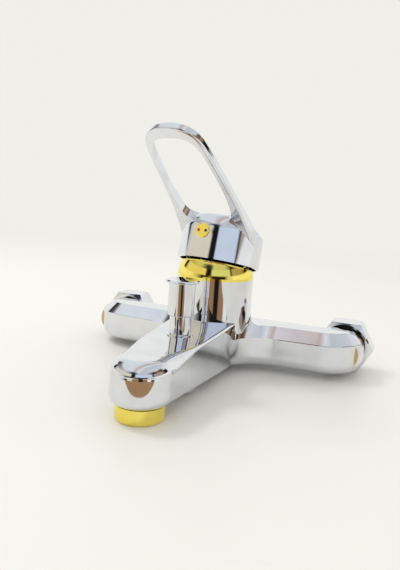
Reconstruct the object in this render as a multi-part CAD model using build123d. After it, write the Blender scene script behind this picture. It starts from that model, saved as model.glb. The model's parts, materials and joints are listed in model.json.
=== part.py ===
from build123d import *
import math
import os

# Wall-mounted single-lever bath and shower mixer. Millimetres, +X to the right, +Y into the wall, +Z up.
# The origin lies midway between the two supply pipes, on the plane where their union nuts meet the wall.

# Places of the main axes
supply_spacing = 150.0
column_y = -46.0
spout_reach = 91.0
diverter_reach = 50.0
rest_z = -15.0
aerator_y = column_y - spout_reach
diverter_y = column_y - diverter_reach

# Pose of the lever in the photograph, counted from shut and from the middle
lever_lift = 14.0
lever_turn = -10.0

# General clearances, and how far a cutting shape runs past what it cuts
running_gap = 0.05
loose_gap = 0.3
seat_gap = 0.02
over = 1.0
far = 100.0

# Column and cartridge cavity
column_r = 22.5
column_top = 39.3
cavity_r = 17.8
cavity_floor = 12.0
nut_thread_r = 19.0
nut_thread_bottom = 31.0
ledge_r = 24.4
ledge_z = 17.6
ledge_rise = 1.2
skirt_foot_r = 35.0
skirt_depth = 2.4
skirt_bow_out = 0.35
skirt_bow_down = 0.6
lip_bow_out = 0.3
lip_bow_up = 0.25
neck_round = 6.0

# Arms to the supply pipes
arm_front = -2.0
arm_back = 25.0
arm_top = 12.5
arm_bottom = -11.5
arm_bevel_y = 7.0
arm_bevel_z = 6.0
arm_sweep = 3.0
arm_elbow_r = 1.5
arm_end_r = 12.6
arm_end_reach = 12.6
arm_boss_r = 12.4
arm_boss_back = 27.5
arm_lower_round = 7.0
arm_back_round = 3.0
arm_edge_round = 0.8

# Spout
spout_top = 13.8
spout_rise = 3.7
spout_rise_power = 1.45
spout_crown = 0.8
spout_crown_growth = 4.0
root_half_width = 18.5
nose_half_width = 14.6
spout_flare_power = 1.35
spout_gaps = (76, 59, 43, 31, 21, 12, 5)
nose_bottom = -7.5
floor_drop = 4.0
nose_round = 7.0
nose_round_length = 32.0
spout_edge_round = 1.5
spout_lower_round = 4.0
corner_hollow_r = 22.0

# Water passages in the casting
arm_passage_r = 6.5
inlet_port_x = 7.5
inlet_port_r = 3.5
outlet_port_y = 8.5
outlet_port_r = 4.2
spout_passage_r = 3.6
feed_passage_z = 1.0
spout_passage_z = 4.3

# Union nuts and their tails
nut_across_flats = 30.0
nut_length = 15.5
nut_wall = 3.5
nut_thread_minor_r = 12.06
nut_thread_length = 7.5
nut_relief_r = 12.3
nut_chamfer = 1.6
nut_face_margin = 0.3
nut_corner_margin = 0.1
nut_back_margin = 0.8
nut_bevel_slope = 0.6
tail_tube_r = 10.5
tail_hole_gap = 0.35
tail_flange_r = 11.7
tail_flange_length = 2.5
tail_thread_r = 10.1
tail_thread_length = 15.0
tail_bore_r = 7.5
washer_thickness = 2.0
washer_inset = 0.1
strainer_lap = 0.4
strainer_inset = 0.6
strainer_recess = 0.8
strainer_pitch = 2.0
strainer_hole_r = 0.6
strainer_margin = 1.0
strainer_rows = 3

# Aerator
aerator_top_r = 12.0
aerator_bottom_r = 11.6
aerator_thread_r = 11.0
aerator_thread_length = 6.0
aerator_wall = 1.4
aerator_lip_r = 8.6
aerator_hole_pitch = 2.6
aerator_hole_r = 0.85
aerator_hole_margin = 0.5
aerator_rows = 3
aerator_rim_round = 1.0
aerator_rim_cut = 0.3
aerator_rim_gap = 1.5
aerator_lip_thickness = 1.2
aerator_washer_height = 3.5
aerator_washer_width = 2.5
shaper_floor = 2.0
shaper_wall = 1.0
shaper_spoke = 1.0
shaper_spoke_depth = 1.6

# Diverter
bonnet_flange_r = 6.9
bonnet_flange_length = 0.9
bonnet_seat_z = 14.4
bonnet_r = 5.6
bonnet_top = 36.0
bonnet_thread_r = 6.3
bonnet_bottom = 8.2
chamber_r = 6.1
chamber_floor = -4.0
diverter_seat_r = 4.2
knob_r = 6.75
knob_bottom = 25.0
knob_disc_r = 8.85
knob_disc_bottom = 42.0
knob_top = 43.4
knob_bore_top = 39.0
diverter_stem_r = 1.9
valve_r = 5.4
valve_length = 3.0
valve_seal_length = 1.0
spring_wire = 0.8
spring_outer_r = 3.7
spring_top = 19.0
spring_turns = 6
diverter_ring_z = 30.0
ring_width = 1.5
ring_height = 1.6
knob_rim_cut = 0.4
knob_disc_cut = 0.5
knob_socket_depth = 2.0
stem_tail = 2.0
stem_clip_width = 0.9
stem_clip_height = 1.6
valve_seal_lap = 0.2

# Shower outlet
outlet_thread_r = 10.475
outlet_bottom = -14.0
outlet_collar_r = 11.4
outlet_collar_length = 1.5
outlet_bore_r = 7.6
outlet_plug_r = 9.4
outlet_plug_length = 6.0
outlet_end_gap = 0.5
outlet_chamfer = 0.4
outlet_stand_off = 0.6

# Cartridge
cartridge_r = 17.5
cartridge_neck_r = 14.9
cartridge_top = 46.5
cartridge_wall = 2.2
cartridge_edge = 1.0
port_land = 0.3
disc_port_inset = 0.5
base_top = 16.5
port_seal_outer_r = 5.0
port_seal_inner_r = 3.6
port_seal_depth = 0.9
fixed_disc_r = 13.4
fixed_disc_top = 20.0
moving_disc_r = 10.4
moving_disc_top = 24.0
chamber_round = 4.2
chamber_span = 6.8
chamber_depth = 2.2
lug_reach = 1.5
lug_width = 3.9
lug_depth = 1.0
carrier_top = 28.0
carrier_floor = 0.6
pivot_z = 38.8
turret_r = 12.5
turret_flange_top = 30.7
turret_top = 45.6
slot_front = 8.6
slot_back = 7.4
blade_play = 0.1
stem_blade_x = 6.0
stem_blade_y = 7.0
stem_blade_low = 7.0
stem_square = 8.0
stem_arm = 11.0
stem_foot_r = 2.3
stem_ball_r = 2.9
stem_shoulder = 9.6
ball_play = 0.3
pin_r = 1.5
pin_length = 22.0

# Cartridge nut and cover ring
nut_hex_flats = 32.0
nut_collar_top = 42.5
nut_hex_top = 46.0
nut_collar_r = 18.5
cover_r = 22.6
cover_top = 51.0
cover_mouth_r = 16.8
cover_skirt = 2.0
cover_room = 0.6

# Lever cap, measured upward from the lift axis with the lever shut
cap_r = 24.6
cap_rim = 7.9
cap_wall = 1.6
cap_taper = 0.3
cap_shoulder_z = 25.5
cap_crest_r = 15.4
cap_crest_z = 34.9
cap_roof = 2.8
cap_back_z = 20.5
cap_back_rise = 3.2
cap_back_slope = 0.2
cap_bend = 0.71
loop_axis_z = 24.3
loop_slope = 26.85
loop_thickness = 5.0
loop_edge_round = 1.5
loop_root_depth = 3.8
loop_root_start = 46.0
loop_root_end = 8.0
loop_reach = 70.0
loop_tail = 10.0
boss_r = 7.6
boss_bottom = 15.0
stem_top_gap = 0.3
key_room = 0.8
plug_z = 23.0
plug_r = 4.3
plug_depth = 2.0
plug_proud = 0.7
mark_r = 0.85
mark_offset = 2.3
mark_depth = 0.5
mark_proud = 0.1
plug_round = 0.5
screw_r = 2.5
screw_length = 9.0
screw_key_r = 1.3
screw_key_depth = 3.0


def cylinder(radius, low, high, x=0.0, y=0.0):
    """Upright solid cylinder between two heights."""
    return Pos(x, y, low) * Cylinder(radius, high - low, align=(Align.CENTER, Align.CENTER, Align.MIN))


def tube(outer, inner, low, high, x=0.0, y=0.0):
    return cylinder(outer, low, high, x, y) - cylinder(inner, low - over, high + over, x, y)


def along_y(radius, near, far, x=0.0, z=0.0):
    """Solid cylinder along Y, from the room side to the wall side."""
    return Pos(x, near, z) * Rot(-90, 0, 0) * Cylinder(
        radius, far - near, align=(Align.CENTER, Align.CENTER, Align.MIN)
    )


def along_x(radius, start, end, y=0.0, z=0.0):
    return Pos(start, y, z) * Rot(0, 90, 0) * Cylinder(
        radius, end - start, align=(Align.CENTER, Align.CENTER, Align.MIN)
    )


def turned(points):
    """Solid of revolution about Z from a closed outline of (radius, height) points."""
    outline = make_face(Polyline(*points, close=True))
    return revolve(Plane.XZ * outline, Axis.Z)


def hexagon(flats, low, high):
    """Upright hexagonal prism with corners to the left and right."""
    prism = RegularPolygon(flats / 2, 6, major_radius=False)
    return Pos(0, 0, low) * extrude(prism, high - low)


def in_turret(shape):
    """Carry a shape drawn about the lift axis at the middle of its turn to where the lever stands."""
    return Pos(0, column_y, pivot_z) * Rot(0, 0, lever_turn) * shape


def on_lever(shape):
    """The same for a shape that also lifts, drawn with the lever shut."""
    return in_turret(Rot(-lever_lift, 0, 0) * shape)


def spout_share(reach):
    """How far back along the spout a section lies: 0 at the nose and 1 at the column's axis."""
    return (spout_reach - reach) / spout_reach


def spout_half_width(reach):
    """Half the spout's width at a distance in front of the column: a slender wedge."""
    growth = math.sin(spout_share(reach) * math.pi / 2) ** spout_flare_power
    return nose_half_width + (root_half_width - nose_half_width) * growth


def spout_round(reach):
    """The upper edges are soft round the nose and crisp along the sides."""
    share = min(1.0, (spout_reach - reach) / nose_round_length)
    return spout_edge_round + (nose_round - spout_edge_round) * (0.5 + 0.5 * math.cos(share * math.pi))


def spout_floor(reach):
    return nose_bottom - floor_drop * spout_share(reach)


def spout_outline(reach):
    half = spout_half_width(reach)
    low = spout_floor(reach)
    top = spout_top + spout_rise * spout_share(reach) ** spout_rise_power
    side_top = top - spout_crown * min(1.0, spout_crown_growth * spout_share(reach))
    sides = Polyline((-half, side_top), (-half, low), (half, low), (half, side_top))
    if top > side_top:
        outline = make_face(sides + ThreePointArc((half, side_top), (0, top), (-half, side_top)))
    else:
        outline = make_face(sides + Line((half, top), (-half, top)))
    upper = outline.vertices().sort_by(Axis.Y)[-2:]
    outline = fillet(upper, spout_round(reach))
    lower = outline.vertices().sort_by(Axis.Y)[:2]
    return fillet(lower, spout_lower_round)


def spout_solid():
    """Sections at the column, at distances short of the nose's centre, and at that centre."""
    sections = []
    for reach in (0, *(spout_reach - gap for gap in spout_gaps), spout_reach):
        plane = Plane(origin=(0, column_y - reach, 0), x_dir=(1, 0, 0), z_dir=(0, -1, 0))
        sections.append(plane * spout_outline(reach))
    blade = loft(sections)
    half_nose = spout_outline(spout_reach) & Pos(far / 2, 0) * Rectangle(far, far)
    nose = mirror(revolve(Plane.XZ * half_nose, Axis.Z, 180), Plane.XZ)
    return blade + Pos(0, aerator_y, 0) * nose


def arm_outline(sweep):
    """Section of an arm in the YZ plane, swept back by the given amount at the front."""
    front = arm_front + sweep
    corners = [
        (front, arm_bottom),
        (arm_back, arm_bottom),
        (arm_back, arm_top),
        (front + arm_bevel_y, arm_top),
        (front, arm_top - arm_bevel_z),
    ]
    outline = make_face(Polyline(*corners, close=True))
    rounds = (arm_lower_round, arm_back_round, arm_back_round, arm_edge_round, arm_edge_round)
    for corner, radius in zip(corners, rounds):
        nearest = outline.vertices().sort_by_distance((corner[0], corner[1], 0))[0]
        outline = fillet(nearest, radius)
    return outline


def arm_elbow_x():
    """Where an arm starts to turn back toward the wall."""
    return supply_spacing / 2 + arm_end_reach - (arm_back + arm_elbow_r - arm_front - arm_sweep)


def arm_pair():
    middle = Plane(origin=(0, column_y, 0), x_dir=(0, 1, 0), z_dir=(1, 0, 0))
    elbow = Plane(origin=(arm_elbow_x(), column_y, 0), x_dir=(0, 1, 0), z_dir=(1, 0, 0))
    right = loft([middle * arm_outline(0), elbow * arm_outline(arm_sweep)])
    turn_axis = Axis((arm_elbow_x(), column_y + arm_back + arm_elbow_r, 0), (0, 0, 1))
    right += revolve(elbow * arm_outline(arm_sweep), turn_axis, 90)
    rounded = Plane.XZ * SlotCenterToCenter(supply_spacing, 2 * arm_end_r)
    right = right & extrude(rounded, far, both=True)
    boss_start = column_y + arm_back - arm_elbow_r
    right += along_y(arm_boss_r, boss_start, column_y + arm_boss_back, supply_spacing / 2)
    return right + mirror(right, Plane.YZ)


def hollow_corner():
    """Plan of the hollow corner between the spout's right side and the arm's front, as an outline."""
    side_x = spout_half_width(corner_hollow_r) - running_gap
    front_y = arm_front + arm_sweep * (side_x + corner_hollow_r) / arm_elbow_x()
    middle = (side_x + corner_hollow_r, front_y - corner_hollow_r)
    slant = corner_hollow_r * math.sqrt(0.5)
    start = (side_x, front_y - corner_hollow_r)
    end = (side_x + corner_hollow_r, front_y)
    return start, (middle[0] - slant, middle[1] + slant), end


def base_plan(inner_x, back_y, outer_x):
    """Plan of the right half of the casting's base, between an inner, a back and an outer line."""
    start, through, end = hollow_corner()
    outline = ThreePointArc(start, through, end)
    outline += Polyline(
        end, (outer_x, end[1]), (outer_x, back_y), (inner_x, back_y), (inner_x, start[1]), start
    )
    return make_face(outline)


def corner_filler():
    """The casting flows from the spout's side into the arm's front through a wide hollow."""
    crease_z = arm_top - arm_bevel_z
    start, through, end = hollow_corner()
    plan = base_plan(root_half_width / 2, arm_back / 2, end[0] + running_gap)
    lower = extrude(Pos(0, 0, crease_z) * plan, -2 * crease_z + arm_bottom, dir=(0, 0, 1))
    slope = math.degrees(math.atan(floor_drop / spout_reach))
    under = Pos(0, 0, spout_floor(0)) * Rot(-slope, 0, 0) * Pos(0, 0, -far / 2) * Box(2 * far, 2 * far, far)
    lower -= under
    foot = lower.edges().sort_by_distance((through[0], through[1], arm_bottom))[0]
    lower = fillet(foot, arm_lower_round)
    rise = math.hypot(arm_bevel_y, arm_bevel_z)
    upper = extrude(Pos(0, 0, crease_z) * plan, rise, dir=(0, arm_bevel_y, arm_bevel_z))
    right = Pos(0, column_y, 0) * (lower + upper)
    return right + mirror(right, Plane.YZ)


def column_solid():
    """The column with a lip over the spout and a hollow neck that spreads over spout and arms."""
    column = cylinder(column_r, 0, column_top)
    foot_z = ledge_z - skirt_depth
    bow = (ledge_r + (skirt_foot_r - ledge_r) * skirt_bow_out, ledge_z - skirt_depth * skirt_bow_down)
    lip = (column_r + (ledge_r - column_r) * lip_bow_out, ledge_z + ledge_rise * lip_bow_up)
    lip_top = ledge_z + ledge_rise
    front_profile = make_face(
        Polyline((skirt_foot_r, foot_z), (0, foot_z), (0, lip_top), (column_r, lip_top))
        + ThreePointArc((column_r, lip_top), lip, (ledge_r, ledge_z))
        + ThreePointArc((ledge_r, ledge_z), bow, (skirt_foot_r, foot_z))
    )
    front = revolve(Plane.XZ * front_profile, Axis.Z)
    front &= Pos(0, -far / 2, 0) * Box(2 * spout_half_width(ledge_r) - over, far, far)
    bend = neck_round * (1 - math.sqrt(0.5))
    neck_top = arm_top + neck_round
    neck_foot_r = column_r + neck_round
    neck_profile = make_face(
        Polyline((neck_foot_r, arm_top), (0, arm_top), (0, neck_top), (column_r, neck_top))
        + ThreePointArc((column_r, neck_top), (column_r + bend, arm_top + bend), (neck_foot_r, arm_top))
    )
    neck = revolve(Plane.XZ * neck_profile, Axis.Z)
    crease_z = arm_top - arm_bevel_z
    plan = base_plan(-over, arm_back, neck_foot_r + over)
    slanted = extrude(Pos(0, 0, crease_z) * plan, 3 * neck_round, dir=(0, arm_bevel_y, arm_bevel_z))
    slanted += mirror(slanted, Plane.YZ)
    column += (neck & slanted) + front
    return Pos(0, column_y, 0) * column


def body():
    casting = spout_solid() + arm_pair() + corner_filler() + column_solid()
    casting -= cylinder(cavity_r, cavity_floor, column_top + over, 0, column_y)
    casting -= cylinder(nut_thread_r + running_gap, nut_thread_bottom, column_top + over, 0, column_y)
    passage_y = column_y + (arm_front + arm_back) / 2
    for side in (-1, 1):
        supply_x = side * supply_spacing / 2
        start = min(side * inlet_port_x, supply_x)
        end = max(side * inlet_port_x, supply_x)
        casting -= along_x(arm_passage_r, start, end, passage_y)
        port_y = column_y + outlet_port_y / 2
        casting -= cylinder(inlet_port_r, 0, cavity_floor + over, side * inlet_port_x, port_y)
        casting -= along_y(inlet_port_r, port_y, passage_y, side * inlet_port_x)
        tail_end = column_y + arm_boss_back
        casting -= along_y(tail_thread_r + seat_gap, tail_end - tail_thread_length, tail_end + over, supply_x)
    casting -= cylinder(outlet_port_r, feed_passage_z, cavity_floor + over, 0, column_y - outlet_port_y)
    casting -= along_y(spout_passage_r, diverter_y, column_y - outlet_port_y, 0, feed_passage_z)
    casting -= along_y(spout_passage_r, aerator_y, diverter_y, 0, spout_passage_z)
    above = spout_top + spout_rise
    casting -= cylinder(bonnet_thread_r + seat_gap, bonnet_bottom, above, 0, diverter_y)
    casting -= cylinder(bonnet_flange_r + seat_gap, bonnet_seat_z - seat_gap, above, 0, diverter_y)
    casting -= cylinder(chamber_r, chamber_floor, bonnet_bottom + over, 0, diverter_y)
    casting -= cylinder(diverter_seat_r, -far, chamber_floor + over, 0, diverter_y)
    plug_top = outlet_plug_bottom() + outlet_plug_length
    casting -= cylinder(outlet_plug_r + seat_gap, -far, plug_top, 0, diverter_y)
    casting -= cylinder(aerator_thread_r + seat_gap, -far, nose_bottom + aerator_thread_length, 0, aerator_y)
    casting -= cylinder(aerator_top_r + loose_gap, -far, nose_bottom, 0, aerator_y)
    casting -= cylinder(spout_passage_r, -far, spout_passage_z, 0, aerator_y)
    return casting


def outlet_plug_bottom():
    """Height of the spout's underside at the shower outlet."""
    return spout_floor(diverter_reach) - outlet_stand_off


def union_nut(side):
    """Hexagonal swivel nut: thread at the wall end, relief behind it, and a wall that pulls on the tail."""
    nut = hexagon(nut_across_flats, 0, nut_length)
    corner_r = nut_across_flats / math.sqrt(3)
    flat_r = nut_across_flats / 2
    nut &= turned(
        [
            (0, 0),
            (flat_r + nut_face_margin, 0),
            (corner_r + nut_corner_margin, (corner_r - flat_r) * nut_bevel_slope),
            (corner_r + nut_corner_margin, nut_length - nut_chamfer),
            (flat_r - nut_back_margin, nut_length),
            (0, nut_length),
        ]
    )
    nut -= cylinder(nut_thread_minor_r, -over, nut_thread_length)
    nut -= cylinder(nut_relief_r, nut_thread_length, nut_length - nut_wall)
    nut -= cylinder(tail_tube_r + tail_hole_gap, 0, nut_length + over)
    return Pos(side * supply_spacing / 2, 0, 0) * Rot(90, 0, 0) * nut


def inlet_tail(side):
    """Tube screwed into the arm, with the flange that the union nut pulls against the supply pipe."""
    boss_face = -(column_y + arm_boss_back)
    flange_face = nut_thread_length + washer_thickness
    tail = turned(
        [
            (tail_bore_r, flange_face),
            (tail_flange_r, flange_face),
            (tail_flange_r, flange_face + tail_flange_length),
            (tail_tube_r, flange_face + tail_flange_length),
            (tail_tube_r, boss_face),
            (tail_thread_r, boss_face),
            (tail_thread_r, boss_face + tail_thread_length),
            (tail_bore_r, boss_face + tail_thread_length),
        ]
    )
    return Pos(side * supply_spacing / 2, 0, 0) * Rot(90, 0, 0) * tail


def inlet_washer(side):
    """Sealing washer with the strainer plate that supply washers carry."""
    low = nut_thread_length
    high = nut_thread_length + washer_thickness
    washer = tube(tail_flange_r - washer_inset, tail_bore_r, low, high)
    mesh = cylinder(tail_bore_r + strainer_lap, low + strainer_inset, high - strainer_recess)
    for row in range(-strainer_rows, strainer_rows + 1):
        for column in range(-strainer_rows, strainer_rows + 1):
            hole_x = row * strainer_pitch
            hole_y = column * strainer_pitch
            if math.hypot(hole_x, hole_y) < tail_bore_r - strainer_margin:
                mesh -= cylinder(strainer_hole_r, low, high, hole_x, hole_y)
    return Pos(side * supply_spacing / 2, 0, 0) * Rot(90, 0, 0) * (washer + mesh)


def aerator_housing():
    collar_low = rest_z
    shell = turned(
        [
            (aerator_bottom_r - aerator_rim_round, collar_low),
            (aerator_bottom_r - aerator_rim_cut, collar_low + aerator_rim_cut),
            (aerator_bottom_r, collar_low + aerator_rim_round),
            (aerator_top_r, nose_bottom - seat_gap),
            (aerator_thread_r, nose_bottom - seat_gap),
            (aerator_thread_r, nose_bottom + aerator_thread_length - aerator_rim_gap),
            (aerator_thread_r - aerator_wall, nose_bottom + aerator_thread_length - aerator_rim_gap),
            (aerator_thread_r - aerator_wall, collar_low + aerator_lip_thickness),
            (aerator_lip_r, collar_low + aerator_lip_thickness),
            (aerator_lip_r, collar_low),
        ]
    )
    return Pos(0, aerator_y, 0) * shell


def aerator_insert():
    """Plastic flow shaper: a cup with a plate of small holes at its foot and a cross at its head."""
    outer = aerator_thread_r - aerator_wall - running_gap
    low = rest_z + aerator_lip_thickness
    high = aerator_insert_top()
    floor_top = low + shaper_floor
    cup = cylinder(outer, low, high) - cylinder(outer - shaper_wall, floor_top, high + over)
    for row in range(-aerator_rows, aerator_rows + 1):
        for column in range(-aerator_rows, aerator_rows + 1):
            hole_x = (column + 0.5 * (row % 2)) * aerator_hole_pitch
            hole_y = row * aerator_hole_pitch * math.sqrt(3) / 2
            if math.hypot(hole_x, hole_y) < aerator_lip_r - aerator_hole_r - aerator_hole_margin:
                cup -= cylinder(aerator_hole_r, low - over, floor_top + over, hole_x, hole_y)
    span = 2 * outer - shaper_wall
    spokes = Box(span, shaper_spoke, shaper_spoke_depth) + Box(shaper_spoke, span, shaper_spoke_depth)
    cup += Pos(0, 0, high - shaper_spoke_depth / 2) * spokes
    return Pos(0, aerator_y, 0) * cup


def aerator_insert_top():
    return nose_bottom + aerator_thread_length - aerator_washer_height


def aerator_washer():
    """Rubber washer with a foot inside the housing and a wider head on the housing's rim."""
    low = aerator_insert_top() + seat_gap
    high = nose_bottom + aerator_thread_length - seat_gap
    head = nose_bottom + aerator_thread_length - aerator_rim_gap + seat_gap
    inner = aerator_thread_r - aerator_wall - aerator_washer_width
    foot = aerator_thread_r - aerator_wall - running_gap
    rim = aerator_thread_r - loose_gap
    outline = [(inner, low), (foot, low), (foot, head), (rim, head), (rim, high), (inner, high)]
    return Pos(0, aerator_y, 0) * turned(outline)


def shower_outlet():
    """Threaded nipple under the spout that the shower hose screws on to."""
    face = outlet_plug_bottom()
    return Pos(0, diverter_y, 0) * turned(
        [
            (outlet_bore_r, outlet_bottom),
            (outlet_thread_r - outlet_chamfer, outlet_bottom),
            (outlet_thread_r, outlet_bottom + outlet_chamfer),
            (outlet_thread_r, face - outlet_collar_length),
            (outlet_collar_r, face - outlet_collar_length),
            (outlet_collar_r, face - seat_gap),
            (outlet_plug_r, face - seat_gap),
            (outlet_plug_r, face + outlet_plug_length - outlet_end_gap),
            (outlet_bore_r, face + outlet_plug_length - outlet_end_gap),
        ]
    )


def diverter_bonnet():
    flange_low = bonnet_seat_z
    return Pos(0, diverter_y, 0) * turned(
        [
            (spring_outer_r + loose_gap, bonnet_bottom),
            (bonnet_thread_r, bonnet_bottom),
            (bonnet_thread_r, flange_low),
            (bonnet_flange_r, flange_low),
            (bonnet_flange_r, flange_low + bonnet_flange_length),
            (bonnet_r, flange_low + bonnet_flange_length),
            (bonnet_r, bonnet_top),
            (diverter_stem_r + running_gap, bonnet_top),
            (diverter_stem_r + running_gap, diverter_ring_z + ring_height),
            (diverter_stem_r + ring_width, diverter_ring_z + ring_height),
            (diverter_stem_r + ring_width, diverter_ring_z),
            (diverter_stem_r + running_gap, diverter_ring_z),
            (diverter_stem_r + running_gap, spring_top),
            (spring_outer_r + loose_gap, spring_top),
        ]
    )


def diverter_knob():
    """Pull knob: a sleeve over the bonnet under a wide flat head."""
    bore = bonnet_r + running_gap
    return Pos(0, diverter_y, 0) * turned(
        [
            (bore, knob_bottom),
            (knob_r - knob_rim_cut, knob_bottom),
            (knob_r, knob_bottom + knob_rim_cut),
            (knob_r, knob_disc_bottom),
            (knob_disc_r - knob_disc_cut, knob_disc_bottom),
            (knob_disc_r, knob_disc_bottom + knob_disc_cut),
            (knob_disc_r, knob_top - knob_disc_cut),
            (knob_disc_r - knob_disc_cut, knob_top),
            (0, knob_top),
            (0, knob_bore_top + knob_socket_depth),
            (diverter_stem_r + seat_gap, knob_bore_top + knob_socket_depth),
            (diverter_stem_r + seat_gap, knob_bore_top),
            (bore, knob_bore_top),
        ]
    )


def valve_low():
    return chamber_floor + valve_seal_length + seat_gap


def diverter_stem():
    """Pull rod from the knob's socket down to a clip under the valve's seat."""
    low = chamber_floor - stem_tail
    rod = cylinder(diverter_stem_r, low, knob_bore_top + knob_socket_depth - seat_gap, 0, diverter_y)
    clip = cylinder(diverter_stem_r + stem_clip_width, low, low + stem_clip_height, 0, diverter_y)
    return rod + clip


def diverter_valve():
    return tube(valve_r, diverter_stem_r + seat_gap, valve_low(), valve_low() + valve_length, 0, diverter_y)


def diverter_seals():
    """The two rubber faces of the valve: the lower one shuts the shower, the upper one the spout."""
    inner = diverter_stem_r + seat_gap
    outer = valve_r + valve_seal_lap
    lower = tube(outer, inner, chamber_floor + seat_gap, valve_low() - seat_gap, 0, diverter_y)
    top = valve_low() + valve_length
    upper = tube(outer, inner, top + seat_gap, top + valve_seal_length, 0, diverter_y)
    return Compound([lower.solid(), upper.solid()])


def diverter_spring():
    low = valve_low() + valve_length + valve_seal_length + spring_wire / 2 + seat_gap
    high = spring_top - spring_wire / 2 - seat_gap
    middle_r = spring_outer_r - spring_wire / 2
    path = Helix((high - low) / spring_turns, high - low, middle_r)
    coil = sweep(Plane(origin=path @ 0, z_dir=path % 0) * Circle(spring_wire / 2), path, is_frenet=True)
    return Pos(0, diverter_y, low) * coil


def diverter_ring():
    """Rubber ring that seals the pull stem in the bonnet."""
    return tube(
        diverter_stem_r + ring_width - running_gap,
        diverter_stem_r + running_gap,
        diverter_ring_z + seat_gap,
        diverter_ring_z + ring_height - seat_gap,
        0,
        diverter_y,
    )


def cartridge_housing():
    shoulder = nut_thread_bottom
    inner = cartridge_r - cartridge_wall
    shell = turned(
        [
            (inner, cavity_floor + seat_gap),
            (cartridge_r, cavity_floor + seat_gap),
            (cartridge_r, shoulder),
            (cartridge_neck_r, shoulder),
            (cartridge_neck_r, cartridge_top - cartridge_edge),
            (cartridge_neck_r - cartridge_edge, cartridge_top),
            (turret_r + running_gap, cartridge_top),
            (turret_r + running_gap, turret_flange_top + running_gap),
            (inner, turret_flange_top + running_gap),
        ]
    )
    return Pos(0, column_y, 0) * shell


def port_places():
    """The hot and cold inlets to the left and right, and the outlet in front."""
    return (
        (-inlet_port_x, outlet_port_y / 2),
        (inlet_port_x, outlet_port_y / 2),
        (0, -outlet_port_y),
    )


def cartridge_base():
    base = cylinder(cartridge_r - cartridge_wall - seat_gap, cavity_floor + seat_gap, base_top)
    low = cavity_floor - over
    for x, y in port_places():
        base -= cylinder(port_seal_inner_r - port_land, low, base_top + over, x, y)
        base -= cylinder(port_seal_outer_r + seat_gap, low, cavity_floor + port_seal_depth, x, y)
    return Pos(0, column_y, 0) * base


def port_seals():
    rings = []
    low = cavity_floor + seat_gap
    high = cavity_floor + port_seal_depth
    for x, y in port_places():
        ring = tube(port_seal_outer_r, port_seal_inner_r, low, high, x, y)
        rings.append((Pos(0, column_y, 0) * ring).solid())
    return Compound(rings)


def fixed_disc():
    disc = cylinder(fixed_disc_r, base_top + seat_gap, fixed_disc_top)
    for x, y in port_places():
        disc -= cylinder(port_seal_inner_r - disc_port_inset, base_top - over, fixed_disc_top + over, x, y)
    return Pos(0, column_y, 0) * disc


def disc_forward():
    """How far the moving disc stands in front of the lift axis in this pose of the lever."""
    return stem_arm * math.sin(math.radians(lever_lift))


def moving_disc():
    disc = cylinder(moving_disc_r, fixed_disc_top + seat_gap, moving_disc_top)
    chamber = extrude(SlotCenterToCenter(chamber_span, 2 * chamber_round, rotation=90), chamber_depth)
    disc -= Pos(0, 0, fixed_disc_top + seat_gap) * chamber
    for side in (-1, 1):
        notch = Box(2 * lug_reach, lug_width + 2 * running_gap, 2 * lug_depth)
        disc -= Pos(side * moving_disc_r, 0, moving_disc_top) * notch
    return in_turret(Pos(0, -disc_forward(), -pivot_z) * disc)


def disc_carrier():
    """Carries the moving disc by two lugs and is pushed by the ball at the stem's foot."""
    carrier = cylinder(moving_disc_r, moving_disc_top + seat_gap, carrier_top)
    lug_low = moving_disc_top - lug_depth + running_gap
    lugs = Pos(0, 0, lug_low) * Box(
        2 * moving_disc_r, lug_width, carrier_top - lug_low, align=(Align.CENTER, Align.CENTER, Align.MIN)
    )
    lugs -= Box(2 * (moving_disc_r - lug_reach + running_gap), 2 * lug_width, 2 * far)
    carrier += lugs & cylinder(moving_disc_r, 0, far)
    carrier -= cylinder(stem_ball_r + ball_play, moving_disc_top + carrier_floor, carrier_top + over)
    return in_turret(Pos(0, -disc_forward(), -pivot_z) * carrier)


def cartridge_turret():
    """Turns in the housing and carries the pin that the stem tilts on."""
    flange_r = cartridge_r - cartridge_wall - loose_gap
    turret = cylinder(flange_r, carrier_top + running_gap, turret_flange_top)
    turret += cylinder(turret_r, carrier_top + running_gap, turret_top)
    slot = Box(stem_blade_x + 2 * blade_play, slot_front + slot_back, far)
    turret -= Pos(0, (slot_back - slot_front) / 2, 0) * slot
    turret -= along_x(pin_r + seat_gap, -far, far, 0, pivot_z)
    return in_turret(Pos(0, 0, -pivot_z) * turret)


def stem_pin():
    return in_turret(along_x(pin_r, -pin_length / 2, pin_length / 2))


def roof_z(y):
    """Height of the lever's sloping top face above the lift axis with the lever shut; y runs to the back."""
    return loop_axis_z + loop_thickness / 2 / math.cos(math.radians(loop_slope)) - y * math.tan(
        math.radians(loop_slope)
    )


def cartridge_stem():
    """Lever stem: a ball foot, a flat blade drilled for the pin, and a square for the cap."""
    blade_height = stem_shoulder + stem_blade_low
    blade = Pos(0, 0, (stem_shoulder - stem_blade_low) / 2) * Box(stem_blade_x, stem_blade_y, blade_height)
    foot = cylinder(stem_foot_r, -stem_arm, 0)
    foot += Pos(0, 0, -stem_arm) * Sphere(stem_ball_r)
    square = Pos(0, 0, stem_shoulder) * Box(
        stem_square, stem_square, far, align=(Align.CENTER, Align.CENTER, Align.MIN)
    )
    stem = (blade + foot + square) - along_x(pin_r + running_gap, -far, far)
    return on_lever(stem & below_roof(cap_roof + 2 * stem_top_gap))


def below_roof(depth):
    """Everything under the sloping top face, moved down by a depth square to that face."""
    slab = Pos(0, 0, -far) * Box(2 * far, 3 * far, 2 * far)
    return Pos(0, 0, roof_z(0)) * Rot(-loop_slope, 0, 0) * Pos(0, 0, -depth) * slab


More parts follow.
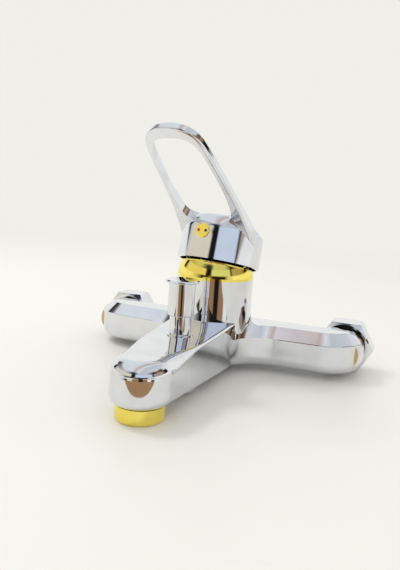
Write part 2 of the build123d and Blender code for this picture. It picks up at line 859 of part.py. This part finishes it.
def cap_blank(wall, roof):
    """The cap as a solid of revolution with a sloping top, drawn inward by a wall and a roof thickness."""
    radius = cap_r - wall
    shoulder_r = radius - cap_taper
    crest_r = cap_crest_r - wall
    crest_z = cap_crest_z - wall
    low = cap_rim - over * (wall > 0)
    bend = (
        crest_r + (shoulder_r - crest_r) * cap_bend,
        cap_shoulder_z + (crest_z - cap_shoulder_z) * cap_bend,
    )
    profile = make_face(
        Polyline((0, crest_z + cap_wall), (0, low), (radius, low), (shoulder_r, cap_shoulder_z))
        + ThreePointArc((shoulder_r, cap_shoulder_z), bend, (crest_r, crest_z))
        + Line((crest_r, crest_z), (0, crest_z + cap_wall))
    )
    blank = revolve(Plane.XZ * profile, Axis.Z)
    front_y = -cap_r - loop_tail
    back_z = cap_back_z - roof
    ridge = Spline(
        (front_y, roof_z(front_y) - roof),
        (0, roof_z(0) - roof),
        (cap_r / 2, back_z + cap_back_rise),
        (cap_r, back_z),
        tangents=((1, -math.tan(math.radians(loop_slope))), (1, -cap_back_slope)),
    )
    fall = cap_back_slope * loop_tail
    rest = Polyline(
        (cap_r, back_z),
        (cap_r + loop_tail, back_z - fall),
        (cap_r + loop_tail, -loop_tail),
        (front_y, -loop_tail),
        (front_y, roof_z(front_y) - roof),
    )
    return blank & extrude(Plane.YZ * make_face(ridge + rest), far, both=True)


def loop_outline():
    """Half of the loop's outer and inner edges in its own plane, along from the column's axis."""
    outer = [(23.9, 0), (23.3, 12), (22.1, 26), (20.6, 42), (19.1, 58), (17.7, 70)]
    outer_end = [(17.7, 70), (15.2, 78.6), (9.4, 83.6), (0, 85.4)]
    inner = [(0, 18.6), (8.5, 18.8), (14.2, 22.0), (16.4, 30)]
    inner_side = [(16.4, 30), (16.9, 42), (15.9, 58), (14.6, 69)]
    inner_end = [(14.6, 69), (12.2, 75.0), (7.4, 78.3), (0, 79.2)]
    return outer, outer_end, inner, inner_side, inner_end


def mirrored(points):
    return [(-x, y) for x, y in reversed(points)]


def loop_plate():
    """The loop: flat on top, and growing deeper below where its two struts meet the cap."""
    outer, outer_end, inner, inner_side, inner_end = loop_outline()
    rim = Spline(*(outer + outer_end[1:] + mirrored(outer_end)[1:] + mirrored(outer)[1:]))
    start_half = outer[0][0]
    tail = Polyline((-start_half, 0), (-start_half, -loop_tail), (start_half, -loop_tail), (start_half, 0))
    edge = make_face(rim + tail)
    half_hole = inner + inner_side[1:] + inner_end[1:]
    around = half_hole + mirrored(half_hole)[1:-1]
    hole = make_face(Spline(*around, periodic=True))
    plan = Plane(
        origin=(0, 0, loop_axis_z),
        x_dir=(-1, 0, 0),
        z_dir=(0, math.sin(math.radians(loop_slope)), math.cos(math.radians(loop_slope))),
    )
    half = loop_thickness / 2
    low = -half - loop_root_depth
    root = Spline(
        (loop_root_start, -half),
        (31, -half - 0.3),
        (20, -half - 1.6),
        (loop_root_end, low),
        tangents=((-1, 0), (-1, -0.25)),
    )
    rest = Polyline(
        (loop_root_end, low),
        (-loop_tail, low),
        (-loop_tail, half),
        (far, half),
        (far, -half),
        (loop_root_start, -half),
    )
    depth = make_face(root + rest)
    side = Plane(origin=plan.origin, x_dir=plan.y_dir, z_dir=plan.x_dir)
    plate = extrude(plan * (edge - hole), far, both=True) & extrude(side * depth, far, both=True)
    long_edges = plate.edges().filter_by(lambda line: line.length > loop_axis_z + loop_reach)
    return fillet(long_edges, loop_edge_round)


def handle():
    cap = cap_blank(0, 0)
    plate = loop_plate()
    plate &= Pos(0, -far, 0) * Box(2 * far, 2 * far, 2 * far) + cylinder(cap_r - cap_taper, -far, far)
    lever = cap + plate
    lever -= cap_blank(cap_wall, cap_roof)
    boss = cylinder(boss_r, boss_bottom, far) & below_roof(cap_roof / 2)
    lever += boss
    socket = stem_square + 2 * running_gap
    lever -= Box(socket, socket, far) & below_roof(cap_roof + stem_top_gap)
    wall_y = -cap_r + cap_taper
    lever -= along_y(screw_r + seat_gap, -boss_r - over, 0, 0, plug_z)
    lever -= along_y(screw_r + key_room, wall_y - over, -boss_r, 0, plug_z)
    lever -= along_y(plug_r + seat_gap, wall_y - plug_depth, wall_y + plug_depth, 0, plug_z)
    return on_lever(lever)


def handle_screw():
    """Grub screw that clamps the cap to the stem, with a hexagon socket."""
    tip = -stem_square / 2 - seat_gap
    screw = along_y(screw_r, tip - screw_length, tip, 0, plug_z)
    key = extrude(RegularPolygon(screw_key_r, 6), screw_key_depth, both=True)
    return on_lever(screw - Pos(0, tip - screw_length, plug_z) * Rot(90, 0, 0) * key)


def index_plug():
    wall_y = -cap_r + cap_taper
    plug = along_y(plug_r, wall_y - plug_proud, wall_y + plug_depth - seat_gap, 0, plug_z)
    front = wall_y - plug_proud
    plug = fillet(plug.faces().sort_by(Axis.Y)[0].edges(), plug_round)
    for side in (-1, 1):
        plug -= along_y(mark_r + seat_gap, front - over, front + mark_depth, side * mark_offset, plug_z)
    return on_lever(plug)


def index_mark(side):
    wall_y = -cap_r + cap_taper
    front = wall_y - plug_proud
    back = front + mark_depth - seat_gap
    return on_lever(along_y(mark_r, front - mark_proud, back, side * mark_offset, plug_z))


def cartridge_nut():
    low = nut_thread_bottom + seat_gap
    ring = cylinder(nut_thread_r, low, column_top)
    ring += cylinder(nut_collar_r, low, nut_collar_top)
    ring += hexagon(nut_hex_flats, nut_collar_top, nut_hex_top) & cylinder(nut_collar_r, 0, far)
    ring -= cylinder(cartridge_neck_r + loose_gap, 0, far)
    return Pos(0, column_y, 0) * ring


def cover_ring():
    """Domed ring: a slice of a ball centred on the lift axis, so the cap clears it at every tilt."""
    low = column_top + seat_gap
    ball = Pos(0, 0, pivot_z) * Sphere(cover_r)
    ball += cylinder(cover_r, low, pivot_z + cover_skirt)
    ring = ball & cylinder(cover_r + over, low, cover_top)
    ring -= cylinder(nut_collar_r + running_gap, low - over, nut_hex_top + cover_room)
    ring -= cylinder(cover_mouth_r, low - over, cover_top + over)
    return Pos(0, column_y, 0) * ring


export = {
    "body": body(),
    "union_nut_left": union_nut(-1),
    "union_nut_right": union_nut(1),
    "inlet_tail_left": inlet_tail(-1),
    "inlet_tail_right": inlet_tail(1),
    "inlet_washer_left": inlet_washer(-1),
    "inlet_washer_right": inlet_washer(1),
    "aerator_housing": aerator_housing(),
    "aerator_insert": aerator_insert(),
    "aerator_washer": aerator_washer(),
    "shower_outlet": shower_outlet(),
    "diverter_bonnet": diverter_bonnet(),
    "diverter_knob": diverter_knob(),
    "diverter_stem": diverter_stem(),
    "diverter_valve": diverter_valve(),
    "diverter_seals": diverter_seals(),
    "diverter_spring": diverter_spring(),
    "diverter_ring": diverter_ring(),
    "cartridge_housing": cartridge_housing(),
    "cartridge_base": cartridge_base(),
    "port_seals": port_seals(),
    "fixed_disc": fixed_disc(),
    "moving_disc": moving_disc(),
    "disc_carrier": disc_carrier(),
    "cartridge_turret": cartridge_turret(),
    "stem_pin": stem_pin(),
    "cartridge_stem": cartridge_stem(),
    "handle": handle(),
    "handle_screw": handle_screw(),
    "index_plug": index_plug(),
    "index_mark_hot": index_mark(-1),
    "index_mark_cold": index_mark(1),
    "cartridge_nut": cartridge_nut(),
    "cover_ring": cover_ring(),
}

os.makedirs("parts", exist_ok=True)
for name, shape in export.items():
    export_step(shape, f"parts/{name}.step")
    print(name, len(shape.solids()), round(shape.volume))
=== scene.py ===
import json
import math
import bpy
from mathutils import Matrix, Vector

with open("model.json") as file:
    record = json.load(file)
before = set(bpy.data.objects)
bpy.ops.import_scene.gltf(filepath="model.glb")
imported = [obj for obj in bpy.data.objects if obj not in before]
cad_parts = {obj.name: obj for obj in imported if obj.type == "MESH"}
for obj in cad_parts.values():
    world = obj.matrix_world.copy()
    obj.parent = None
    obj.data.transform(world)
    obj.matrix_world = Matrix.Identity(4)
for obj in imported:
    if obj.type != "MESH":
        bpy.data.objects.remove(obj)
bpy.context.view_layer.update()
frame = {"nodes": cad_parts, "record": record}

NODES = frame["nodes"]

# The photograph's camera: angles, place in metres, and focal length in pixels of a picture 570 high.
CAMERA_AZIMUTH = math.radians(20.95)
CAMERA_ELEVATION = math.radians(9.35)
CAMERA_ROLL = math.radians(3.56)
CAMERA_PLACE = (0.10375, -0.3419, 0.08498)
FOCAL_PIXELS = 531.2
PICTURE_HEIGHT = 570
SENSOR_HEIGHT = 36.0

# The paper sheet, in metres. Its mirrored front edge lies square to the camera, before the spout's nose.
FLOOR_Z = -0.015
SHEET_HALF = 6.0
SHEET_FADE = (0.35, 1.1)
NOSE_ACROSS = -0.049
EDGE_FORWARD = (0.1785, 0.1815)
EDGE_SLOPE = 0.05
EDGE_HALF_WIDTH = (0.13, 0.15)

# Sines of the elevation between which each band of the mirrored room gives way to the next.
TAN_TO_LOW = (-0.26, -0.22)
LOW_TO_DARK = (0.03, 0.06)
DARK_TO_WALLS = (0.15, 0.2)
WALLS_TO_HIGH = (0.46, 0.5)
HIGH_TO_CEILING = (0.62, 0.74)

# Surface textures: noise scales per metre, and heights in metres.
SMEAR_SCALE = 90.0
SMEAR_RANGE = (0.35, 0.7)
GLOSS_SCALE = 160.0
GLOSS_RANGE = (0.3, 0.75)
WAVE_SCALE = 45.0
WAVE_STRENGTH = 0.12
WAVE_HEIGHT = 0.00012
MARK_SCALE = 900.0
MARK_STRETCH = (0.08, 1, 1)
MARK_STRENGTH = 0.25
MARK_GLOSS_SCALE = 500.0
MARK_GLOSS_SPREAD = 0.2
CLOUD_SCALE = 220.0
SHEEN_SCALE = 700.0
SHEEN_SPREAD = 0.15
GRAIN_SCALE = 1500.0
FINE_HEIGHT = 0.0001
PAPER_CLOUD_SCALE = 6.0
PAPER_ROUGHNESS = 0.42

KEY_PLACE = (-0.55, -0.1, 0.9)
KEY_TARGET = (0, -0.05, 0)
KEY_SIZE = 0.25
KEY_POWER = 2.6


# Camera

def make_camera():
    """The photograph's camera: it stands a little to the right and above, rolled to the left."""
    level = math.cos(CAMERA_ELEVATION)
    back = Vector((math.sin(CAMERA_AZIMUTH) * level, -math.cos(CAMERA_AZIMUTH) * level, math.sin(CAMERA_ELEVATION)))
    right = Vector((math.cos(CAMERA_AZIMUTH), math.sin(CAMERA_AZIMUTH), 0))
    up = back.cross(right)
    right_rolled = math.cos(CAMERA_ROLL) * right + math.sin(CAMERA_ROLL) * up
    up_rolled = -math.sin(CAMERA_ROLL) * right + math.cos(CAMERA_ROLL) * up
    data = bpy.data.cameras.new("camera")
    data.sensor_fit = "VERTICAL"
    data.sensor_height = SENSOR_HEIGHT
    data.sensor_width = SENSOR_HEIGHT
    data.lens = FOCAL_PIXELS / PICTURE_HEIGHT * SENSOR_HEIGHT
    data.clip_start = 0.01
    data.clip_end = 50
    camera = bpy.data.objects.new("camera", data)
    bpy.context.scene.collection.objects.link(camera)
    place = Matrix((right_rolled, up_rolled, back)).transposed().to_4x4()
    place.translation = Vector(CAMERA_PLACE)
    camera.matrix_world = place
    bpy.context.scene.camera = camera


# Shader helpers

class Graph:
    """A small wrapper that adds nodes to a tree and joins them."""

    def __init__(self, tree):
        self.tree = tree
        tree.nodes.clear()

    def add(self, kind, **settings):
        node = self.tree.nodes.new(kind)
        for name, value in settings.items():
            setattr(node, name, value)
        return node

    def join(self, source, target):
        self.tree.links.new(source, target)

    def value(self, operation, first, second=None, third=None, clamp=False):
        node = self.add("ShaderNodeMath", operation=operation, use_clamp=clamp)
        for socket, given in zip(node.inputs, (first, second, third)):
            if given is None:
                continue
            if isinstance(given, (int, float)):
                socket.default_value = given
            else:
                self.join(given, socket)
        return node.outputs[0]

    def smooth(self, source, low, high):
        """0 below the low value, 1 above the high one, and smooth between."""
        node = self.add("ShaderNodeMapRange", interpolation_type="SMOOTHSTEP", clamp=True)
        self.join(source, node.inputs["Value"])
        node.inputs["From Min"].default_value = low
        node.inputs["From Max"].default_value = high
        return node.outputs["Result"]

    def ramp(self, source, stops):
        node = self.add("ShaderNodeValToRGB")
        elements = node.color_ramp.elements
        while len(elements) < len(stops):
            elements.new(0.5)
        for element, (place, colour) in zip(elements, stops):
            element.position = place
            element.color = (*colour, 1)
        self.join(source, node.inputs["Fac"])
        return node.outputs["Color"]

    def mix(self, factor, first, second):
        node = self.add("ShaderNodeMix", data_type="RGBA")
        for socket, given in zip((node.inputs[0], node.inputs[6], node.inputs[7]), (factor, first, second)):
            if isinstance(given, tuple):
                socket.default_value = (*given, 1)
            elif isinstance(given, (int, float)):
                socket.default_value = given
            else:
                self.join(given, socket)
        return node.outputs[2]


def new_material(name):
    material = bpy.data.materials.new(name)
    material.use_nodes = True
    graph = Graph(material.node_tree)
    shader = graph.add("ShaderNodeBsdfPrincipled")
    output = graph.add("ShaderNodeOutputMaterial")
    graph.join(shader.outputs[0], output.inputs["Surface"])
    return material, graph, shader


def noise(graph, scale, detail=3.0, stretch=(1, 1, 1)):
    """Noise in the object's own space, in metres."""
    place = graph.add("ShaderNodeTexCoord")
    mapping = graph.add("ShaderNodeMapping")
    mapping.inputs["Scale"].default_value = stretch
    graph.join(place.outputs["Object"], mapping.inputs["Vector"])
    texture = graph.add("ShaderNodeTexNoise")
    texture.inputs["Scale"].default_value = scale
    texture.inputs["Detail"].default_value = detail
    graph.join(mapping.outputs[0], texture.inputs["Vector"])
    return texture.outputs[0]


def bumped(graph, shader, height, strength, distance):
    bump = graph.add("ShaderNodeBump")
    bump.inputs["Strength"].default_value = strength
    bump.inputs["Distance"].default_value = distance
    graph.join(height, bump.inputs["Height"])
    graph.join(bump.outputs[0], shader.inputs["Normal"])


def plated(name, colour, deep, rough_low, rough_high):
    """Polished plating: handling marks make its gloss uneven, and the casting below it is faintly wavy."""
    material, graph, shader = new_material(name)
    shader.inputs["Metallic"].default_value = 1.0
    smear = noise(graph, SMEAR_SCALE, 4.0)
    graph.join(graph.mix(graph.smooth(smear, *SMEAR_RANGE), colour, deep), shader.inputs["Base Color"])
    spread = graph.add("ShaderNodeMapRange")
    graph.join(noise(graph, GLOSS_SCALE, 5.0), spread.inputs["Value"])
    spread.inputs["From Min"].default_value, spread.inputs["From Max"].default_value = GLOSS_RANGE
    spread.inputs["To Min"].default_value = rough_low
    spread.inputs["To Max"].default_value = rough_high
    graph.join(spread.outputs[0], shader.inputs["Roughness"])
    bumped(graph, shader, noise(graph, WAVE_SCALE, 1.0), WAVE_STRENGTH, WAVE_HEIGHT)
    return material


def turned_metal(name, colour, deep, roughness):
    """Machined metal with fine tool marks round its axes."""
    material, graph, shader = new_material(name)
    shader.inputs["Metallic"].default_value = 1.0
    marks = noise(graph, MARK_SCALE, 3.0, MARK_STRETCH)
    graph.join(graph.mix(marks, colour, deep), shader.inputs["Base Color"])
    spread = graph.value("MULTIPLY_ADD", noise(graph, MARK_GLOSS_SCALE, 2.0), MARK_GLOSS_SPREAD, roughness)
    graph.join(spread, shader.inputs["Roughness"])
    bumped(graph, shader, marks, MARK_STRENGTH, FINE_HEIGHT)
    return material


def moulded(name, colour, deep, roughness, grain):
    """Plastic, rubber, ceramic or enamel with a mould grain."""
    material, graph, shader = new_material(name)
    cloud = noise(graph, CLOUD_SCALE, 4.0)
    graph.join(graph.mix(cloud, colour, deep), shader.inputs["Base Color"])
    sheen = graph.value("MULTIPLY_ADD", noise(graph, SHEEN_SCALE, 2.0), SHEEN_SPREAD, roughness)
    graph.join(sheen, shader.inputs["Roughness"])
    bumped(graph, shader, noise(graph, GRAIN_SCALE, 2.0), grain, FINE_HEIGHT)
    return material


def make_materials():
    return {
        "chrome": plated("chrome_plate", (0.79, 0.80, 0.82), (0.74, 0.75, 0.78), 0.025, 0.06),
        "gold": plated("gold_plate", (1.0, 0.84, 0.20), (0.95, 0.77, 0.15), 0.04, 0.08),
        "raw_brass": turned_metal("raw_brass", (0.72, 0.53, 0.25), (0.58, 0.41, 0.17), 0.22),
        "steel": turned_metal("stainless_steel", (0.62, 0.63, 0.64), (0.5, 0.5, 0.51), 0.2),
        "seal_rubber": moulded("seal_rubber", (0.022, 0.022, 0.023), (0.04, 0.04, 0.04), 0.55, 0.35),
        "cartridge_plastic": moulded("cartridge_plastic", (0.78, 0.78, 0.74), (0.72, 0.72, 0.69), 0.35, 0.15),
        "aerator_plastic": moulded("aerator_plastic", (0.68, 0.7, 0.71), (0.6, 0.62, 0.64), 0.3, 0.15),
        "ceramic": moulded("ceramic", (0.83, 0.8, 0.72), (0.78, 0.75, 0.68), 0.12, 0.05),
        "red_enamel": moulded("red_enamel", (0.55, 0.03, 0.02), (0.42, 0.02, 0.02), 0.15, 0.05),
        "dark_enamel": moulded("dark_enamel", (0.02, 0.03, 0.07), (0.01, 0.015, 0.04), 0.15, 0.05),
    }


def dress_nodes():
    """Every node takes the material of its slot in the record."""
    materials = make_materials()
    for entry in frame["record"]["subparts"]:
        node = NODES[entry["node"]]
        material = materials[entry["material_slot"]]
        if not node.material_slots:
            node.data.materials.append(material)
        for holder in node.material_slots:
            holder.material = material


# Stage, light and what the polished metal mirrors

CREAM = (0.80, 0.74, 0.60)
BROWN = (0.34, 0.20, 0.10)
BLACK = (0.012, 0.011, 0.012)
NAVY = (0.03, 0.04, 0.08)
PALE_BLUE = (0.66, 0.75, 0.88)
GREY = (0.62, 0.62, 0.60)
WHITE = (0.95, 0.95, 0.93)
CEILING = (0.80, 0.86, 0.93)
ROSE = (0.62, 0.50, 0.47)
ROSE_LIGHT = (0.74, 0.67, 0.68)
TAN = (0.40, 0.24, 0.12)
PALE = (0.84, 0.86, 0.88)
SHADE = (0.60, 0.64, 0.69)
DUSK = (0.42, 0.36, 0.33)
PAPER = (0.87, 0.863, 0.82)
PAPER_LIGHT = (0.86, 0.853, 0.81)
PAPER_DEEP = (0.83, 0.823, 0.785)
DAYLIGHT = (0.93, 0.92, 0.90)


def make_ceiling(graph, x):
    """A pale ceiling, rose in the middle and shaded toward the right."""
    return graph.ramp(graph.value("MULTIPLY_ADD", x, 0.5, 0.5), [
        (0.0, PALE), (0.38, CEILING), (0.44, ROSE_LIGHT), (0.48, ROSE), (0.52, ROSE_LIGHT), (0.56, PALE),
        (0.64, SHADE), (1.0, PALE),
    ])


def make_world():
    """Even white light. Polished metal mirrors a room in front: tan below, then brown and black low down, walls with
    dark upright bands, a darker band above them, and a bluish ceiling. The back is white."""
    world = bpy.data.worlds.new("studio")
    bpy.context.scene.world = world
    world.use_nodes = True
    graph = Graph(world.node_tree)
    place = graph.add("ShaderNodeTexCoord")
    parts = graph.add("ShaderNodeSeparateXYZ")
    graph.join(place.outputs["Generated"], parts.inputs[0])
    x, y, z = parts.outputs
    turn = graph.value("ARCTAN2", x, graph.value("MULTIPLY", y, -1.0))
    share = graph.value("MULTIPLY_ADD", turn, 0.5 / math.pi, 0.5)

    def at(degrees):
        return (degrees + 180) / 360

    walls = graph.ramp(share, [
        (0.0, WHITE), (at(-104), WHITE), (at(-100), NAVY), (at(-91), NAVY), (at(-87), GREY), (at(-76), CREAM),
        (at(-14), CREAM), (at(-9), BLACK), (at(4), BLACK), (at(8), PALE_BLUE), (at(62), PALE_BLUE), (at(68), BLACK),
        (at(73), DUSK), (at(104), DUSK), (at(114), BROWN), (at(120), BLACK), (at(132), BLACK), (at(138), WHITE),
        (1.0, WHITE),
    ])
    low = graph.ramp(share, [
        (0.0, WHITE), (at(-70), WHITE), (at(-48), CREAM), (at(-38), GREY), (at(-30), BLACK), (at(-25), BLACK),
        (at(-21), CREAM), (at(-8), CREAM), (at(-3), BROWN), (at(16), BROWN), (at(19), BLACK), (at(30), BLACK),
        (at(33), BROWN), (at(46), BROWN), (at(50), WHITE), (at(58), WHITE), (at(62), BLACK), (at(68), BLACK),
        (at(74), WHITE), (1.0, WHITE),
    ])
    dark = graph.ramp(share, [
        (0.0, WHITE), (at(-60), WHITE), (at(-40), GREY), (at(-22), BLACK), (at(-6), BLACK), (at(2), BROWN),
        (at(12), BLACK), (at(46), BLACK), (at(56), GREY), (at(76), WHITE), (1.0, WHITE),
    ])
    high = graph.ramp(share, [
        (0.0, PALE), (at(-125), PALE), (at(-112), BLACK), (at(-80), DUSK), (at(-55), GREY), (at(-35), SHADE),
        (at(-12), NAVY), (at(2), NAVY), (at(14), SHADE), (at(50), SHADE), (at(72), BLACK), (at(95), BROWN),
        (at(115), BLACK), (at(130), PALE), (1.0, PALE),
    ])
    room = graph.mix(graph.smooth(z, *TAN_TO_LOW), TAN, low)
    room = graph.mix(graph.smooth(z, *LOW_TO_DARK), room, dark)
    room = graph.mix(graph.smooth(z, *DARK_TO_WALLS), room, walls)
    room = graph.mix(graph.smooth(z, *WALLS_TO_HIGH), room, high)
    room = graph.mix(graph.smooth(z, *HIGH_TO_CEILING), room, make_ceiling(graph, x))
    rays = graph.add("ShaderNodeLightPath")
    mirrored = graph.value("MAXIMUM", rays.outputs["Is Glossy Ray"], rays.outputs["Is Transmission Ray"])
    colour = graph.mix(mirrored, DAYLIGHT, room)
    colour = graph.mix(rays.outputs["Is Camera Ray"], colour, PAPER)
    background = graph.add("ShaderNodeBackground")
    graph.join(colour, background.inputs["Color"])
    background.inputs["Strength"].default_value = 1.0
    output = graph.add("ShaderNodeOutputWorld")
    graph.join(background.outputs[0], output.inputs["Surface"])


def make_floor():
    """A pale sheet of paper that fades into the backdrop. Its front edge shows only in what the metal mirrors."""
    material, graph, shader = new_material("paper")
    cloud = noise(graph, PAPER_CLOUD_SCALE, 3.0)
    graph.join(graph.mix(cloud, PAPER_LIGHT, PAPER_DEEP), shader.inputs["Base Color"])
    shader.inputs["Roughness"].default_value = PAPER_ROUGHNESS
    where = graph.add("ShaderNodeNewGeometry")
    parts = graph.add("ShaderNodeSeparateXYZ")
    graph.join(where.outputs["Position"], parts.inputs[0])
    x, y = parts.outputs[0], parts.outputs[1]
    sine, cosine = math.sin(CAMERA_AZIMUTH), math.cos(CAMERA_AZIMUTH)
    forward = graph.value("MULTIPLY_ADD", x, sine, graph.value("MULTIPLY", y, -cosine))
    across = graph.value("MULTIPLY_ADD", x, cosine, graph.value("MULTIPLY", y, sine))
    aside = graph.value("ABSOLUTE", graph.value("ADD", across, -NOSE_ACROSS))
    beyond = graph.smooth(graph.value("MULTIPLY_ADD", aside, EDGE_SLOPE, forward), *EDGE_FORWARD)
    inside = graph.value("SUBTRACT", 1.0, graph.smooth(aside, *EDGE_HALF_WIDTH))
    rays = graph.add("ShaderNodeLightPath")
    gone = graph.value("MULTIPLY", rays.outputs["Is Glossy Ray"], graph.value("MULTIPLY", beyond, inside))
    radius = graph.value("SQRT", graph.value("ADD", graph.value("MULTIPLY", x, x), graph.value("MULTIPLY", y, y)))
    backdrop = graph.add("ShaderNodeEmission")
    backdrop.inputs["Color"].default_value = (*PAPER, 1)
    far = graph.add("ShaderNodeMixShader")
    graph.join(graph.smooth(radius, *SHEET_FADE), far.inputs[0])
    graph.join(shader.outputs[0], far.inputs[1])
    graph.join(backdrop.outputs[0], far.inputs[2])
    clear = graph.add("ShaderNodeBsdfTransparent")
    blend = graph.add("ShaderNodeMixShader")
    graph.join(gone, blend.inputs[0])
    graph.join(far.outputs[0], blend.inputs[1])
    graph.join(clear.outputs[0], blend.inputs[2])
    output = [node for node in material.node_tree.nodes if node.type == "OUTPUT_MATERIAL"][0]
    graph.join(blend.outputs[0], output.inputs["Surface"])
    mesh = bpy.data.meshes.new("floor")
    signs = ((-1, -1), (1, -1), (1, 1), (-1, 1))
    mesh.from_pydata([(east * SHEET_HALF, north * SHEET_HALF, FLOOR_Z) for east, north in signs], [], [(0, 1, 2, 3)])
    floor = bpy.data.objects.new("floor", mesh)
    mesh.materials.append(material)
    bpy.context.scene.collection.objects.link(floor)


def make_lamp(name, place, target, size, power):
    data = bpy.data.lights.new(name, "AREA")
    data.shape = "DISK"
    data.size = size
    data.energy = power
    lamp = bpy.data.objects.new(name, data)
    lamp.location = place
    lamp.rotation_euler = (Vector(target) - Vector(place)).to_track_quat("-Z", "Y").to_euler()
    lamp.visible_glossy = False
    bpy.context.scene.collection.objects.link(lamp)


make_camera()
make_world()
make_floor()
make_lamp("key", KEY_PLACE, KEY_TARGET, KEY_SIZE, KEY_POWER)
dress_nodes()

bpy.context.scene.view_settings.view_transform = "Standard"
